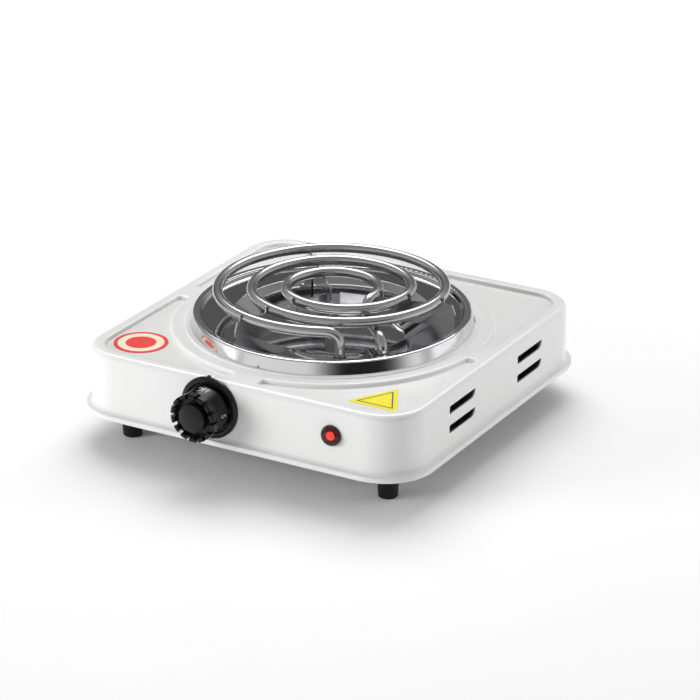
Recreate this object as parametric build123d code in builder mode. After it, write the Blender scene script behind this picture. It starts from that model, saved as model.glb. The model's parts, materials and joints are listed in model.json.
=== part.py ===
from build123d import *
from math import atan2, cos, degrees, pi, radians, sin, sqrt
import os

# Table-top hot plate with one spiral element.  Millimetres, +Z up, the feet stand on z = 0,
# the controls face -Y.  The origin is under the middle of the whole box, knob included, so
# the burner axis stands BURNER_Y behind it.

# ---- driving dimensions ----
BURNER_Y = 9.0            # burner axis, behind the origin
BODY_W = 225.0            # body walls, side to side
BODY_D = 227.0            # body walls, front to back
CORNER_R = 27.5           # vertical corners of the body
SHEET = 1.0               # pressed steel of the body and the base
LIP_Z = 20.1              # underside of the rolled lip
LIP_OUT = 3.9             # how far the lip stands out from the wall
LIP_H = 3.4
FLARE_R = 2.8             # hollow curve between the wall and the lip
TOP_Z = 60.3              # top face of the body
EDGE_R = 3.6              # rounding between the walls and the top
BORDER_W = 9.0            # raised border round the corner pockets
POCKET_DEPTH = 2.5
POCKET_EDGE_R = 1.5       # rounding round the top of each pocket
POCKET_FLOOR_R = 0.8
BURNER_RING_R = 98.0      # raised field round the burner
BRIDGE_W = 20.0           # where that field joins the border
COLLAR_R = 89.6           # low step that carries the trim ring
COLLAR_H = 0.9
PAN_HOLE_R = 83.0

RING_R = 86.2             # chrome trim ring, at the foot of its sloping wall
RING_SHOULDER_R = 84.3    # and at the top of that wall
RING_IN_R = 80.2
RING_TOP_Z = 68.9
RING_T = 0.8

PAN_T = 0.8               # stepped drip pan
PAN_SHELF_Z = 66.0        # upper face of the outer shelf
PAN_SHELF_R = 78.4
PAN_SHELF_IN_R = 61.0     # rim of the bowl
PAN_FLOOR_R = 44.0
PAN_FLOOR_Z = 51.0
LEG_HOLE_R = 3.9          # holes for the legs of the element

COIL_Z = 81.7             # centre line of the spiral
TUBE_R = 3.2
TURN_RADII = [69.3, 48.7, 28.0]
STEP_ANGLE = 54.0         # where each turn starts to step in to the next
COIL_START = -63.5        # outer end of the spiral
COIL_END = 0.0            # inner end of the spiral
ELBOW_R = 8.0
LEAD_Z = 75.0             # the inner end runs back under the turns at this height
LEG_2 = (57.9, -41.5)     # leg of the inner end
LEG_END_Z = 44.0

BLADE_T = 1.2             # three blades carry the turns
BLADE_TOP_Z = 80.0
BLADE_LOW_Z = 66.0        # the blades stand on the shelf of the pan
HOOK_W = 2.8              # hooks that hold each turn in its notch
HOOK_H = 1.4              # how far they reach above the centre of the tube
BLADE_ANGLES = [12.0, 132.0, 252.0]

KNOB_X = -16.5            # control axis
CONTROL_Z = 43.0
BEZEL_R = 19.0
LAMP_X = 65.1
GLAND_X = 60.0
GLAND_Z = 36.0
EARTH = (0.0, 70.0)       # earth screw in the base plate
FOOT_X = 88.3
FOOT_TOP_Z = LIP_Z + 0.5
BASE_TOP_Z = FOOT_TOP_Z + SHEET
WALL_Y = BODY_D / 2       # outer face of the front wall, in front of the burner axis
FRAME_SCREW_X = 11.0      # the thermostat's two screws, beside the control axis
LAMP_HOLE_R = 4.9
GLAND_THREAD_R = 7.0
M4_R = 2.0                # screw sizes and their clearance holes
M4_HOLE_R = 2.2
ST3_R = 1.28
ST3_HOLE_R = 1.7

os.makedirs("parts", exist_ok=True)


def level(z, x=0.0, y=0.0):
    """Horizontal plane at height z; x and y are measured from the burner axis."""
    return Plane(origin=(x, BURNER_Y + y, z))


def upright(angle=0.0):
    """Vertical plane through the burner axis: local x runs outward at this angle, local y is height."""
    a = radians(angle)
    return Plane(origin=(0, BURNER_Y, 0), x_dir=(cos(a), sin(a), 0), z_dir=(sin(a), -cos(a), 0))


def facing(depth, x=0.0, z=0.0):
    """Plane parallel to the front wall, depth in front of the burner axis, looking at the user."""
    return Plane(origin=(x, BURNER_Y - depth, z), x_dir=(1, 0, 0), z_dir=(0, -1, 0))


def turned(x, z):
    """Profile plane of a piece turned on an axis along Y: local x is radius, local y is depth."""
    return Plane(origin=(x, BURNER_Y, z), x_dir=(1, 0, 0), z_dir=(0, 0, -1))


def y_axis(x, z):
    return Axis((x, BURNER_Y, z), (0, 1, 0))


def on_circle(radius, angle):
    return (radius * cos(radians(angle)), radius * sin(radians(angle)))


def dome(radius, base, height):
    """Points of a spherical cap's half section, from its rim to its crown."""
    sphere = (radius ** 2 + height ** 2) / (2 * height)
    half = sqrt(sphere ** 2 - (radius / 2) ** 2) - (sphere - height)
    return (radius, base), (radius / 2, base + half), (0, base + height)


BURNER_AXIS = Axis((0, BURNER_Y, 0), (0, 0, 1))
KNOB_AXIS = y_axis(KNOB_X, CONTROL_Z)

# ---- body ----
SLOT_L = 32.0
SLOT_H = 5.2
SLOT_Z = 41.9             # middle of each pair of vents
SLOT_PITCH_Y = 86.0
SLOT_PITCH_Z = 12.1

with BuildSketch() as vent_outline:
    Rectangle(SLOT_L, SLOT_H)
    low_rear = vent_outline.vertices().group_by(Axis.X)[-1].sort_by(Axis.Y)[0]
    fillet(low_rear, SLOT_H - 0.3)
    fillet(vent_outline.vertices().group_by(Axis.X)[0], 1.2)

TAB_ANGLES = [30.0, 150.0, 270.0]   # tabs of the trim ring
BASE_SCREWS = [(x, y) for x in (-104.5, 104.5) for y in (-60.0, 60.0)]

with BuildPart() as body_shell:
    with BuildSketch(level(LIP_Z)):
        RectangleRounded(BODY_W, BODY_D, CORNER_R)
    extrude(amount=TOP_Z - LIP_Z)
    fillet(body_shell.faces().sort_by(Axis.Z)[-1].edges(), EDGE_R)
    with BuildSketch(level(LIP_Z)):
        RectangleRounded(BODY_W + 2 * LIP_OUT, BODY_D + 2 * LIP_OUT, CORNER_R + LIP_OUT)
    extrude(amount=LIP_H)
    lip_top = body_shell.faces().filter_by(Axis.Z).sort_by(Axis.Z)[1]
    fillet(lip_top.inner_wires()[0].edges(), FLARE_R)
    lip_sides = body_shell.edges().filter_by_position(Axis.Z, LIP_Z + LIP_H - 0.01, LIP_Z + LIP_H + 0.01)
    fillet(lip_sides, 0.9)
    fillet(body_shell.faces().sort_by(Axis.Z)[0].outer_wire().edges(), 0.8)
    # corner pockets
    with BuildSketch(level(TOP_Z)) as pockets:
        RectangleRounded(BODY_W - 2 * BORDER_W, BODY_D - 2 * BORDER_W, CORNER_R - BORDER_W)
        Circle(BURNER_RING_R, mode=Mode.SUBTRACT)
        Rectangle(BRIDGE_W, BODY_D, mode=Mode.SUBTRACT)
        Rectangle(BODY_W, BRIDGE_W, mode=Mode.SUBTRACT)
        beside_bridge = pockets.vertices().filter_by(
            lambda v: abs(min(abs(v.X), abs(v.Y)) - BRIDGE_W / 2) < 0.1
        )
        fillet(beside_bridge, 1.8)
    extrude(amount=-POCKET_DEPTH, mode=Mode.SUBTRACT)
    pocket_floors = body_shell.faces().filter_by(Axis.Z).group_by(Axis.Z)[-2]
    fillet(pocket_floors.edges(), POCKET_FLOOR_R)
    deck = body_shell.faces().filter_by(Axis.Z).group_by(Axis.Z)[-1]
    pocket_rims = [edge for face in deck for wire in face.inner_wires() for edge in wire.edges()]
    fillet(pocket_rims, POCKET_EDGE_R)
    # step for the trim ring, and the hole for the pan
    with BuildSketch(level(TOP_Z)):
        Circle(COLLAR_R)
    extrude(amount=COLLAR_H)
    fillet(body_shell.faces().sort_by(Axis.Z)[-1].edges(), 0.5)
    with BuildSketch(level(TOP_Z + COLLAR_H)):
        Circle(PAN_HOLE_R)
    extrude(amount=-10, mode=Mode.SUBTRACT)
    # hollow inside, following the pressed top
    with BuildSketch(level(LIP_Z)):
        RectangleRounded(BODY_W - 2 * SHEET, BODY_D - 2 * SHEET, CORNER_R - SHEET)
    extrude(amount=TOP_Z - POCKET_DEPTH - SHEET - LIP_Z, mode=Mode.SUBTRACT)
    with BuildSketch(level(TOP_Z - SHEET)):
        Circle(BURNER_RING_R - 1.6)
    extrude(amount=-POCKET_DEPTH, mode=Mode.SUBTRACT)
    # side vents
    with BuildSketch(Plane(origin=(0, BURNER_Y, SLOT_Z), x_dir=(0, 1, 0), z_dir=(1, 0, 0))):
        with GridLocations(SLOT_PITCH_Y, SLOT_PITCH_Z, 2, 2):
            add(vent_outline.sketch)
    extrude(amount=BODY_W, both=True, mode=Mode.SUBTRACT)
    # front wall: bush and screws of the thermostat, and the lamp
    with BuildSketch(facing(WALL_Y + 1)):
        with Locations((KNOB_X, CONTROL_Z)):
            Circle(5.3)
        with Locations((KNOB_X - FRAME_SCREW_X, CONTROL_Z), (KNOB_X + FRAME_SCREW_X, CONTROL_Z)):
            Circle(ST3_HOLE_R)
        with Locations((LAMP_X, CONTROL_Z)):
            Circle(LAMP_HOLE_R)
    extrude(amount=-6, mode=Mode.SUBTRACT)
    # flat seat for the dial ring, where the flare would meet it
    with BuildSketch(facing(WALL_Y, KNOB_X, CONTROL_Z)):
        Circle(BEZEL_R + 0.3)
    extrude(amount=LIP_OUT, mode=Mode.SUBTRACT)
    # back wall: cord inlet
    with BuildSketch(facing(-WALL_Y - 1)):
        with Locations((GLAND_X, GLAND_Z)):
            Circle(GLAND_THREAD_R + 0.1)
    extrude(amount=6, mode=Mode.SUBTRACT)
    # slots for the tabs of the trim ring
    with BuildSketch(level(TOP_Z + COLLAR_H)):
        with PolarLocations(RING_R - RING_T / 2, 3, start_angle=TAB_ANGLES[0]):
            Rectangle(1.4, 9.4)
    extrude(amount=-5, mode=Mode.SUBTRACT)
    # folded tabs that take the base screws
    for x, y in BASE_SCREWS:
        with BuildSketch(level(BASE_TOP_Z + 0.05)):
            with Locations((x + (1.5 if x > 0 else -1.5), y)):
                Rectangle(11.5, 14)
            with Locations((x, y)):
                Circle(1.3, mode=Mode.SUBTRACT)
        extrude(amount=1.2)
body_shell.part.label = "body_shell"
export_step(body_shell.part, "parts/body_shell.step")

with BuildPart() as base_plate:
    with BuildSketch(level(FOOT_TOP_Z)):
        gap = SHEET + 0.3
        RectangleRounded(BODY_W - 2 * gap, BODY_D - 2 * gap, CORNER_R - gap)
        with GridLocations(13, 62, 9, 2):
            SlotOverall(34, 4.2, rotation=90, mode=Mode.SUBTRACT)
        with GridLocations(2 * FOOT_X, 2 * FOOT_X, 2, 2):
            Circle(M4_HOLE_R, mode=Mode.SUBTRACT)
        with Locations(*BASE_SCREWS):
            Circle(ST3_HOLE_R, mode=Mode.SUBTRACT)
        with Locations(EARTH):
            Circle(M4_HOLE_R, mode=Mode.SUBTRACT)
    extrude(amount=SHEET)
base_plate.part.label = "base_plate"
export_step(base_plate.part, "parts/base_plate.step")

# ---- feet, with their screws and nuts ----
FOOT_R = 7.0
FOOT_LOW_R = 5.8
FOOT_RECESS_Z = 9.0
FOOT_RECESS_R = 3.6
M4_HEAD_R = 3.3
M4_HEAD_H = 2.4
FEET = {
    "foot_front_left": (-FOOT_X, -FOOT_X),
    "foot_front_right": (FOOT_X, -FOOT_X),
    "foot_rear_left": (-FOOT_X, FOOT_X),
    "foot_rear_right": (FOOT_X, FOOT_X),
}
for name, (x, y) in FEET.items():
    with BuildPart() as foot:
        with BuildSketch(level(0, x, y)):
            Circle(FOOT_LOW_R)
        with BuildSketch(level(FOOT_TOP_Z, x, y)):
            Circle(FOOT_R)
        loft()
        fillet(foot.edges().group_by(Axis.Z)[0], 1.2)
        with BuildSketch(level(0, x, y)):
            Circle(FOOT_RECESS_R)
        extrude(amount=FOOT_RECESS_Z, mode=Mode.SUBTRACT)
        with BuildSketch(level(0, x, y)):
            Circle(M4_HOLE_R)
        extrude(amount=FOOT_TOP_Z, mode=Mode.SUBTRACT)
    foot.part.label = name
    export_step(foot.part, "parts/" + name + ".step")

with BuildPart() as foot_screws:
    for x, y in FEET.values():
        with BuildSketch(level(FOOT_RECESS_Z - M4_HEAD_H, x, y)):
            Circle(M4_HEAD_R)
            Rectangle(4.2, 0.9, mode=Mode.SUBTRACT)
            Rectangle(0.9, 4.2, mode=Mode.SUBTRACT)
        extrude(amount=M4_HEAD_H / 2)
        with BuildSketch(level(FOOT_RECESS_Z - M4_HEAD_H / 2, x, y)):
            Circle(M4_HEAD_R)
        extrude(amount=M4_HEAD_H / 2)
        with BuildSketch(level(FOOT_RECESS_Z, x, y)):
            Circle(M4_R)
        extrude(amount=BASE_TOP_Z + 5 - FOOT_RECESS_Z)
foot_screws.part.label = "foot_screws"
export_step(foot_screws.part, "parts/foot_screws.step")

with BuildPart() as foot_nuts:
    for x, y in FEET.values():
        with BuildSketch(level(BASE_TOP_Z, x, y)):
            RegularPolygon(4.0, 6)
            Circle(M4_R + 0.03, mode=Mode.SUBTRACT)
        extrude(amount=3.2)
foot_nuts.part.label = "foot_nuts"
export_step(foot_nuts.part, "parts/foot_nuts.step")

with BuildPart() as base_screws:
    for x, y in BASE_SCREWS:
        with BuildSketch(level(FOOT_TOP_Z - 1.7, x, y)):
            Circle(3.0)
            Rectangle(3.8, 0.8, mode=Mode.SUBTRACT)
            Rectangle(0.8, 3.8, mode=Mode.SUBTRACT)
        extrude(amount=0.9)
        with BuildSketch(level(FOOT_TOP_Z - 0.8, x, y)):
            Circle(3.0)
        extrude(amount=0.8)
        with BuildSketch(level(FOOT_TOP_Z, x, y)):
            Circle(ST3_R)
        extrude(amount=7)
base_screws.part.label = "base_screws"
export_step(base_screws.part, "parts/base_screws.step")

# ---- trim ring and drip pan ----
TAB_LOW_Z = TOP_Z - SHEET - 0.9
with BuildPart() as trim_ring:
    with BuildSketch(upright()) as ring_profile:
        with BuildLine():
            Polyline(
                (RING_R, TOP_Z + COLLAR_H),
                (RING_SHOULDER_R, RING_TOP_Z),
                (RING_IN_R, RING_TOP_Z),
                (RING_IN_R, RING_TOP_Z - RING_T),
                (RING_SHOULDER_R - RING_T, RING_TOP_Z - RING_T),
                (RING_R - RING_T, TOP_Z + COLLAR_H),
                close=True,
            )
        make_face()
        outer_corner = ring_profile.vertices().group_by(Axis.Y)[-1].sort_by(Axis.X)[-1]
        fillet(outer_corner, 1.2)
        inner_corner = ring_profile.vertices().group_by(Axis.X)[0].sort_by(Axis.Y)[-1]
        fillet(inner_corner, 0.5)
    revolve(axis=BURNER_AXIS)
    # three tabs pass down through the body's top and fold outward under it
    with BuildSketch(level(TOP_Z + COLLAR_H)):
        with PolarLocations(RING_R - RING_T / 2, 3, start_angle=TAB_ANGLES[0]):
            Rectangle(RING_T, 8.6)
    extrude(amount=TAB_LOW_Z - TOP_Z - COLLAR_H)
    with BuildSketch(level(TAB_LOW_Z)):
        with PolarLocations(RING_R + 1.5, 3, start_angle=TAB_ANGLES[0]):
            Rectangle(3 + RING_T * 2, 8.6)
    extrude(amount=RING_T)
trim_ring.part.label = "trim_ring"
export_step(trim_ring.part, "parts/trim_ring.step")


def pan_leg_points():
    """Where the two legs of the element pass the pan."""
    x, y = on_circle(TURN_RADII[0], COIL_START)
    run = ELBOW_R + 0.5
    first = (x - run * sin(radians(COIL_START)), y + run * cos(radians(COIL_START)))
    return [first, LEG_2]


LEGS = pan_leg_points()
CLAMP_MID = ((LEGS[0][0] + LEGS[1][0]) / 2, (LEGS[0][1] + LEGS[1][1]) / 2)
CLAMP_HOLE_R = 1.6
PAN_TOP_Z = RING_TOP_Z - RING_T
PAN_BEND_R = 0.7
PAN_LIP_R = RING_SHOULDER_R - RING_T - 0.6
with BuildPart() as drip_pan:
    with BuildSketch(upright()) as pan_profile:
        with BuildLine():
            Polyline(
                (PAN_LIP_R, PAN_TOP_Z - PAN_T),
                (PAN_LIP_R, PAN_TOP_Z),
                (RING_IN_R - 0.4, PAN_TOP_Z),
                (PAN_SHELF_R, PAN_SHELF_Z),
                (PAN_SHELF_IN_R, PAN_SHELF_Z),
                (PAN_FLOOR_R, PAN_FLOOR_Z),
                (2.7, PAN_FLOOR_Z),
                (2.7, PAN_FLOOR_Z - PAN_T),
                (PAN_FLOOR_R + 0.5, PAN_FLOOR_Z - PAN_T),
                (PAN_SHELF_IN_R + 0.5, PAN_SHELF_Z - PAN_T),
                (PAN_SHELF_R + 0.7, PAN_SHELF_Z - PAN_T),
                (RING_IN_R + 0.3, PAN_TOP_Z - PAN_T),
                close=True,
            )
        make_face()
        inside = pan_profile.vertices().filter_by(lambda v: 30 < v.X < RING_IN_R + 1)
        fillet(inside, PAN_BEND_R)
    revolve(axis=BURNER_AXIS)
    with BuildSketch(level(PAN_SHELF_Z + 1)):
        with Locations(*LEGS):
            Circle(LEG_HOLE_R)
        with Locations(CLAMP_MID):
            Circle(CLAMP_HOLE_R)
    extrude(amount=-6, mode=Mode.SUBTRACT)
drip_pan.part.label = "drip_pan"
export_step(drip_pan.part, "parts/drip_pan.step")


# ---- spiral element ----
def step_arcs():
    """Half turns that carry the tube from one turn to the next: (radius, distance of its centre)."""
    pairs = zip(TURN_RADII[:-1], TURN_RADII[1:])
    return [((outer + inner) / 2, (outer - inner) / 2) for outer, inner in pairs]


def tube_radii_at(angle):
    """Radii at which the tube crosses this angle, on the three turns, outermost first."""
    turn = (STEP_ANGLE - angle) % 360      # clockwise from where the steps begin
    stepped = []
    for radius, shift in step_arcs():
        a = radians(turn)
        stepped.append(shift * cos(a) + sqrt(radius ** 2 - (shift * sin(a)) ** 2))
    if turn >= 180:
        return list(TURN_RADII)
    if turn < (STEP_ANGLE - COIL_START) % 360:
        return stepped + [TURN_RADII[2]]
    return [TURN_RADII[0]] + stepped


ARC_PLANE = level(COIL_Z)
LEAD_START = on_circle(TURN_RADII[2], COIL_END)
with BuildLine(ARC_PLANE) as coil_path:
    leg_1 = (LEGS[0][0], LEGS[0][1])
    start = on_circle(TURN_RADII[0], COIL_START)
    FilletPolyline(
        (leg_1[0], leg_1[1], LEG_END_Z - COIL_Z),
        (leg_1[0], leg_1[1], 0),
        (start[0], start[1], 0),
        radius=ELBOW_R,
    )
    first_sweep = (COIL_START - STEP_ANGLE) % 360
    CenterArc((0, 0), TURN_RADII[0], COIL_START, -first_sweep)
    for (radius, shift), inner in zip(step_arcs(), TURN_RADII[1:]):
        CenterArc(on_circle(shift, STEP_ANGLE), radius, STEP_ANGLE, -180)
        last = inner == TURN_RADII[-1]
        sweep_angle = 180 + STEP_ANGLE - COIL_END if last else 180
        CenterArc((0, 0), inner, STEP_ANGLE - 180, -sweep_angle)
    FilletPolyline(
        (LEAD_START[0], LEAD_START[1], 0),
        (LEAD_START[0], LEAD_START[1] - 4, 0),
        (LEAD_START[0] + 0.6, LEAD_START[1] - 13, LEAD_Z - COIL_Z),
        (LEG_2[0], LEG_2[1], LEAD_Z - COIL_Z),
        (LEG_2[0], LEG_2[1], LEG_END_Z - COIL_Z),
        radius=[7, 6, ELBOW_R],
    )
with BuildPart() as coil_element:
    with BuildSketch(Plane(origin=coil_path.wires()[0] @ 0, z_dir=coil_path.wires()[0] % 0)):
        Circle(TUBE_R)
    sweep(path=coil_path.wires()[0])
coil_element.part.label = "coil_element"
export_step(coil_element.part, "parts/coil_element.step")
tube_volume = pi * TUBE_R ** 2 * coil_path.wires()[0].length
print("tube volume", round(coil_element.part.volume), "expected", round(tube_volume))

PIN_LOW_Z = 33.0
with BuildPart() as coil_pins:
    for x, y in LEGS:
        with BuildSketch(level(LEG_END_Z - 3, x, y)):
            Circle(2.7)
        extrude(amount=3)
        with BuildSketch(level(PIN_LOW_Z, x, y)):
            Circle(1.3)
        extrude(amount=LEG_END_Z - 3 - PIN_LOW_Z)
coil_pins.part.label = "coil_pins"
export_step(coil_pins.part, "parts/coil_pins.step")

# ---- clamp under the pan, between the legs: a strap, two collars pressed on the legs and a screw ----
CLAMP_T = 1.5
CLAMP_W = 13.0
CLAMP_TOP_Z = PAN_SHELF_Z - PAN_T
COLLAR_LOW_Z = CLAMP_TOP_Z - CLAMP_T - 4.0
CLAMP_ANGLE = degrees(atan2(LEGS[1][1] - LEGS[0][1], LEGS[1][0] - LEGS[0][0]))
LEG_PITCH = sqrt((LEGS[1][0] - LEGS[0][0]) ** 2 + (LEGS[1][1] - LEGS[0][1]) ** 2)
with BuildPart() as leg_collars:
    with BuildSketch(level(COLLAR_LOW_Z)):
        with Locations(*LEGS):
            Circle(TUBE_R + 2.3)
            Circle(TUBE_R + 0.02, mode=Mode.SUBTRACT)
    extrude(amount=CLAMP_TOP_Z - CLAMP_T - COLLAR_LOW_Z)
leg_collars.part.label = "leg_collars"
export_step(leg_collars.part, "parts/leg_collars.step")

with BuildPart() as clamp_bridge:
    with BuildSketch(level(CLAMP_TOP_Z)):
        with Locations(CLAMP_MID):
            SlotOverall(LEG_PITCH + CLAMP_W, CLAMP_W, rotation=CLAMP_ANGLE)
            Circle(CLAMP_HOLE_R, mode=Mode.SUBTRACT)
        with Locations(*LEGS):
            Circle(LEG_HOLE_R, mode=Mode.SUBTRACT)
    extrude(amount=-CLAMP_T)
clamp_bridge.part.label = "clamp_bridge"
export_step(clamp_bridge.part, "parts/clamp_bridge.step")

with BuildPart() as clamp_screw:
    with BuildSketch(level(CLAMP_TOP_Z - CLAMP_T, *CLAMP_MID)):
        Circle(3.0)
    extrude(amount=-2.0)
    with BuildSketch(level(CLAMP_TOP_Z - CLAMP_T - 2.0, *CLAMP_MID)):
        Rectangle(4.0, 0.8)
        Rectangle(0.8, 4.0)
    extrude(amount=1.0, mode=Mode.SUBTRACT)
    with BuildSketch(level(CLAMP_TOP_Z - CLAMP_T, *CLAMP_MID)):
        Circle(CLAMP_HOLE_R - 0.03)
    extrude(amount=CLAMP_T + PAN_T)
clamp_screw.part.label = "clamp_screw"
export_step(clamp_screw.part, "parts/clamp_screw.step")

# ---- support blades, with their bolt, nut and spacer ----
HUB_R = 6.5
HUB_TOP_Z = BLADE_LOW_Z + 2.5     # low hub: its bolt sinks between the blades
BOLT_R = 2.5
BOLT_HEAD_R = 4.6
BOLT_HEAD_H = 2.4
NOTCH_R = TUBE_R + 0.2
HOOK_TOP = COIL_Z + HOOK_H
SHIELD_Z = 43.0
SHIELD_R = 55.0
SHIELD_T = 0.8
with BuildPart() as coil_support:
    with BuildSketch(level(BLADE_LOW_Z)):
        Circle(HUB_R)
    extrude(amount=HUB_TOP_Z - BLADE_LOW_Z)
    for angle in BLADE_ANGLES:
        with BuildSketch(upright(angle)):
            with BuildLine():
                Polyline(
                    (0, BLADE_LOW_Z),
                    (PAN_SHELF_R - 2, BLADE_LOW_Z),
                    (PAN_SHELF_R - 1, BLADE_TOP_Z - 6),
                    (PAN_SHELF_R - 3, BLADE_TOP_Z),
                    (0, BLADE_TOP_Z),
                    close=True,
                )
            make_face()
            for radius in tube_radii_at(angle):
                with Locations((radius + NOTCH_R + 0.9 - HOOK_W / 2, (BLADE_TOP_Z + HOOK_TOP) / 2)):
                    RectangleRounded(HOOK_W, HOOK_TOP - BLADE_TOP_Z + 2, 0.6)
            for radius in tube_radii_at(angle):
                with Locations((radius, COIL_Z)):
                    Circle(NOTCH_R, mode=Mode.SUBTRACT)
                with Locations((radius - NOTCH_R / 2 - 0.4, COIL_Z + 1)):
                    Rectangle(NOTCH_R + 0.8, 2 * NOTCH_R, align=(Align.CENTER, Align.CENTER), mode=Mode.SUBTRACT)
        extrude(amount=BLADE_T / 2, both=True)
    with BuildSketch(level(BLADE_TOP_Z)):
        Circle(BOLT_HEAD_R + 0.4)
    extrude(amount=HUB_TOP_Z - BLADE_TOP_Z, mode=Mode.SUBTRACT)
    with BuildSketch(level(BLADE_TOP_Z)):
        Circle(BOLT_R + 0.05)
    extrude(amount=-20, mode=Mode.SUBTRACT)
coil_support.part.label = "coil_support"
export_step(coil_support.part, "parts/coil_support.step")

with BuildPart() as support_bolt:
    with BuildSketch(level(SHIELD_Z - 8)):
        Circle(BOLT_R)
    extrude(amount=HUB_TOP_Z + 8 - SHIELD_Z)
    with BuildSketch(level(HUB_TOP_Z)):
        Circle(BOLT_HEAD_R)
    extrude(amount=BOLT_HEAD_H)
    fillet(support_bolt.edges().group_by(Axis.Z)[-1], 1.4)
    with BuildSketch(level(HUB_TOP_Z + BOLT_HEAD_H)):
        Rectangle(5.4, 1.0)
        Rectangle(1.0, 5.4)
    extrude(amount=-1.4, mode=Mode.SUBTRACT)
support_bolt.part.label = "support_bolt"
export_step(support_bolt.part, "parts/support_bolt.step")

with BuildPart() as pan_spacer:
    with BuildSketch(level(PAN_FLOOR_Z)):
        Circle(4.2)
        Circle(BOLT_R + 0.05, mode=Mode.SUBTRACT)
    extrude(amount=BLADE_LOW_Z - PAN_FLOOR_Z)
    with BuildSketch(level(SHIELD_Z + SHIELD_T)):
        Circle(6.0)
        Circle(BOLT_R + 0.05, mode=Mode.SUBTRACT)
    extrude(amount=PAN_FLOOR_Z - PAN_T - SHIELD_Z - SHIELD_T)
pan_spacer.part.label = "pan_spacer"
export_step(pan_spacer.part, "parts/pan_spacer.step")

with BuildPart() as heat_shield:
    with BuildSketch(upright()):
        with BuildLine():
            Polyline(
                (2.7, SHIELD_Z + SHIELD_T),
                (SHIELD_R - 5, SHIELD_Z + SHIELD_T),
                (SHIELD_R, SHIELD_Z + 6),
                (SHIELD_R + SHIELD_T, SHIELD_Z + 6),
                (SHIELD_R - 4.6, SHIELD_Z),
                (2.7, SHIELD_Z),
                close=True,
            )
        make_face()
    revolve(axis=BURNER_AXIS)
heat_shield.part.label = "heat_shield"
export_step(heat_shield.part, "parts/heat_shield.step")

with BuildPart() as support_nut:
    with BuildSketch(level(SHIELD_Z)):
        RegularPolygon(4.7, 6)
        Circle(BOLT_R + 0.03, mode=Mode.SUBTRACT)
    extrude(amount=-4)
support_nut.part.label = "support_nut"
export_step(support_nut.part, "parts/support_nut.step")

# ---- dial and its fixed ring ----
BEZEL_T = 2.4
POINTER_R = BEZEL_R + 1.1               # small nib on the ring that the marks are read against
SHAFT_R = 3.0
SKIRT_BACK = WALL_Y + BEZEL_T + 1.4      # distances in front of the burner axis
SKIRT_FRONT = SKIRT_BACK + 9.6
GRIP_FRONT = SKIRT_BACK + 17.0
CAP_FRONT = GRIP_FRONT + 2.6
CAP_BACK = GRIP_FRONT - 1.2
GROOVE_FLOOR = GRIP_FRONT - 5.0          # deep ring between the cap and the blocks
SKIRT_R = 14.5
NECK_R = 11.9
BLOCK_IN_R = 12.0
BLOCK_R = 14.8
BLOCKS = 14
BLOCK_GAP = 2.0
FIN_ANGLE = 110.0                        # fin on the skirt, from the user's right
CAP_R = 8.7

with BuildPart() as knob_bezel:
    with BuildSketch(turned(KNOB_X, CONTROL_Z)) as bezel_profile:
        with BuildLine():
            Polyline(
                (5.6, WALL_Y),
                (BEZEL_R, WALL_Y),
                (BEZEL_R, WALL_Y + 1.5),
                (BEZEL_R - 1.6, WALL_Y + BEZEL_T),
                (BEZEL_R - 3.0, WALL_Y + BEZEL_T),
                (BEZEL_R - 3.8, WALL_Y + 0.9),
                (5.6, WALL_Y + 0.9),
                close=True,
            )
        make_face()
    revolve(axis=KNOB_AXIS)
    with BuildSketch(facing(WALL_Y, KNOB_X, CONTROL_Z)):
        with BuildLine():
            Polyline((-1.3, BEZEL_R - 1), (1.3, BEZEL_R - 1), (0.7, POINTER_R), (-0.7, POINTER_R), close=True)
        make_face()
    extrude(amount=2.0)
    with BuildSketch(facing(WALL_Y, KNOB_X, CONTROL_Z)):
        with Locations((-FRAME_SCREW_X, 0), (FRAME_SCREW_X, 0)):
            Circle(ST3_HOLE_R)
    extrude(amount=4, mode=Mode.SUBTRACT)
knob_bezel.part.label = "knob_bezel"
export_step(knob_bezel.part, "parts/knob_bezel.step")

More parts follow.
